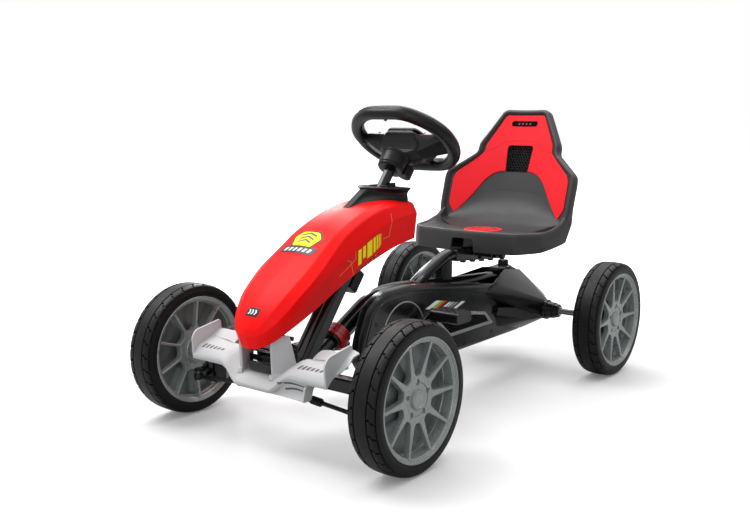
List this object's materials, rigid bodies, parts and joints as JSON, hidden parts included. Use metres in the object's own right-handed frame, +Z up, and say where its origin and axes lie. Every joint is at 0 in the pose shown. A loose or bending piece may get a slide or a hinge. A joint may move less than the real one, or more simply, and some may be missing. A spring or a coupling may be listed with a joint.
{
  "type": "pedal go kart",
  "caption": "Child's four-wheel pedal go kart with steered front wheels, enclosed chain drive to the rear axle, nose cowl, front wing and a sliding moulded seat.",
  "frame": {"origin": "on the ground, on the centre plane, midway between the front and rear axles", "axes": "the kart faces -Y, +X is the driver's left, +Z is up"},
  "size_m": [0.609, 1.0354, 0.6083],
  "materials": {
    "cowl_red": "gloss moulded plastic",
    "seat_red": "satin moulded plastic",
    "seat_grey": "fine-grained moulded plastic",
    "wing_grey": "satin moulded plastic",
    "rim_grey": "satin painted plastic",
    "tyre_black": "matt tread, satin sidewall",
    "frame_black": "gloss powder coat",
    "case_black": "satin moulded plastic",
    "trim_black": "satin moulded plastic",
    "collar_red": "gloss moulded plastic",
    "silver_trim": "satin",
    "steel": "zinc plated",
    "mesh_black": "matt open mesh"
  },
  "bodies": {
    "chassis": {"front_frame": "frame_black", "rear_frame": "frame_black", "clamp_collar": "collar_red", "clamp_bolt": "steel", "kingpin_left": "steel", "kingpin_right": "steel", "column_bush_upper": "trim_black", "column_bush_lower": "trim_black", "nose_cowl": "cowl_red", "dash_visor": "trim_black", "column_collar": "trim_black", "cowl_bracket": "trim_black", "front_wing": "wing_grey", "chain_case_outer": "case_black", "chain_case_inner": "case_black", "case_ring": "silver_trim", "grille_bezel": "silver_trim", "grille_mesh": "mesh_black", "chain": "steel", "axle_cover_left": "case_black", "axle_cover_right": "case_black", "axle_dome": "case_black", "axle_bearing_left": "case_black", "axle_bearing_right": "case_black"},
    "steering": {"steering_column": "trim_black", "steering_wheel": "trim_black", "wheel_hub": "trim_black", "wheel_pad": "trim_black"},
    "knuckle_left": {"knuckle_left": "frame_black"},
    "knuckle_right": {"knuckle_right": "frame_black"},
    "tie_rod_left": {"tie_rod_left": "trim_black"},
    "tie_rod_right": {"tie_rod_right": "trim_black"},
    "wheel_front_left": {"tyre_front_left": "tyre_black", "rim_front_left": "rim_grey", "hub_cap_front_left": "rim_grey"},
    "wheel_front_right": {"tyre_front_right": "tyre_black", "rim_front_right": "rim_grey", "hub_cap_front_right": "rim_grey"},
    "rear_axle": {"rear_axle": "steel", "rear_sprocket": "steel", "tyre_rear_left": "tyre_black", "rim_rear_left": "rim_grey", "hub_cap_rear_left": "rim_grey", "tyre_rear_right": "tyre_black", "rim_rear_right": "rim_grey", "hub_cap_rear_right": "rim_grey"},
    "crank": {"crank_axle": "steel", "chainwheel": "steel", "crank_arm_left": "frame_black", "crank_arm_right": "frame_black"},
    "pedal_left": {"pedal_left": "case_black"},
    "pedal_right": {"pedal_right": "case_black"},
    "seat": {"seat_shell": "seat_grey", "seat_red_panel": "seat_red", "seat_vent_mesh": "mesh_black", "seat_slot_insert": "mesh_black", "seat_disc": "seat_red", "seat_bracket": "frame_black"},
    "seat_latch": {"seat_latch": "trim_black"},
    "drive_knob": {"drive_knob": "trim_black"}
  },
  "joints": [
    {"name": "steering_turn", "type": "hinge", "parent": "chassis", "child": "steering", "pos_m": [0, -0.107, 0.45], "axis": [0, 0.6157, 0.788], "range_deg": [-26, 26]},
    {"name": "kingpin_left_turn", "type": "hinge", "parent": "chassis", "child": "knuckle_left", "pos_m": [0.206, -0.3877, 0.13], "axis": [0, 0, 1], "range_deg": [-30, 30]},
    {"name": "kingpin_right_turn", "type": "hinge", "parent": "chassis", "child": "knuckle_right", "pos_m": [-0.206, -0.3877, 0.13], "axis": [0, 0, 1], "range_deg": [-30, 30]},
    {"name": "tie_rod_left_pivot", "type": "hinge", "parent": "knuckle_left", "child": "tie_rod_left", "pos_m": [0.214, -0.416, 0.086], "axis": [0, 0, 1], "range_deg": [-30, 30]},
    {"name": "tie_rod_right_pivot", "type": "hinge", "parent": "knuckle_right", "child": "tie_rod_right", "pos_m": [-0.214, -0.416, 0.086], "axis": [0, 0, 1], "range_deg": [-30, 30]},
    {"name": "front_left_wheel_spin", "type": "hinge", "parent": "knuckle_left", "child": "wheel_front_left", "pos_m": [0.2707, -0.3877, 0.13], "axis": [1, 0, 0], "continuous": true},
    {"name": "front_right_wheel_spin", "type": "hinge", "parent": "knuckle_right", "child": "wheel_front_right", "pos_m": [-0.2707, -0.3877, 0.13], "axis": [1, 0, 0], "continuous": true},
    {"name": "rear_axle_spin", "type": "hinge", "parent": "chassis", "child": "rear_axle", "pos_m": [0, 0.3877, 0.13], "axis": [1, 0, 0], "continuous": true},
    {"name": "crank_spin", "type": "hinge", "parent": "chassis", "child": "crank", "pos_m": [0, -0.114, 0.149], "axis": [1, 0, 0], "continuous": true},
    {"name": "pedal_left_spin", "type": "hinge", "parent": "crank", "child": "pedal_left", "pos_m": [0.122, -0.03826, 0.18759], "axis": [1, 0, 0], "continuous": true},
    {"name": "pedal_right_spin", "type": "hinge", "parent": "crank", "child": "pedal_right", "pos_m": [-0.122, -0.18974, 0.11041], "axis": [1, 0, 0], "continuous": true},
    {"name": "seat_slide", "type": "slide", "parent": "chassis", "child": "seat", "axis": [0, 0.9966, -0.0819], "range_m": [-0.08, 0.04]},
    {"name": "seat_latch_pull", "type": "slide", "parent": "seat", "child": "seat_latch", "axis": [1, 0, 0], "range_m": [0, 0.008]},
    {"name": "drive_knob_turn", "type": "hinge", "parent": "chassis", "child": "drive_knob", "pos_m": [0, 0.38, 0.23], "axis": [0, 0, 1], "range_deg": [0, 90]}
  ],
  "couplings": [
    {"joint": "kingpin_left_turn", "follows": "steering_turn", "ratio": 1.15},
    {"joint": "kingpin_right_turn", "follows": "steering_turn", "ratio": 1.15},
    {"joint": "tie_rod_left_pivot", "follows": "steering_turn", "ratio": -1.15},
    {"joint": "tie_rod_right_pivot", "follows": "steering_turn", "ratio": -1.15},
    {"joint": "crank_spin", "follows": "rear_axle_spin", "ratio": 0.57143}
  ]
}
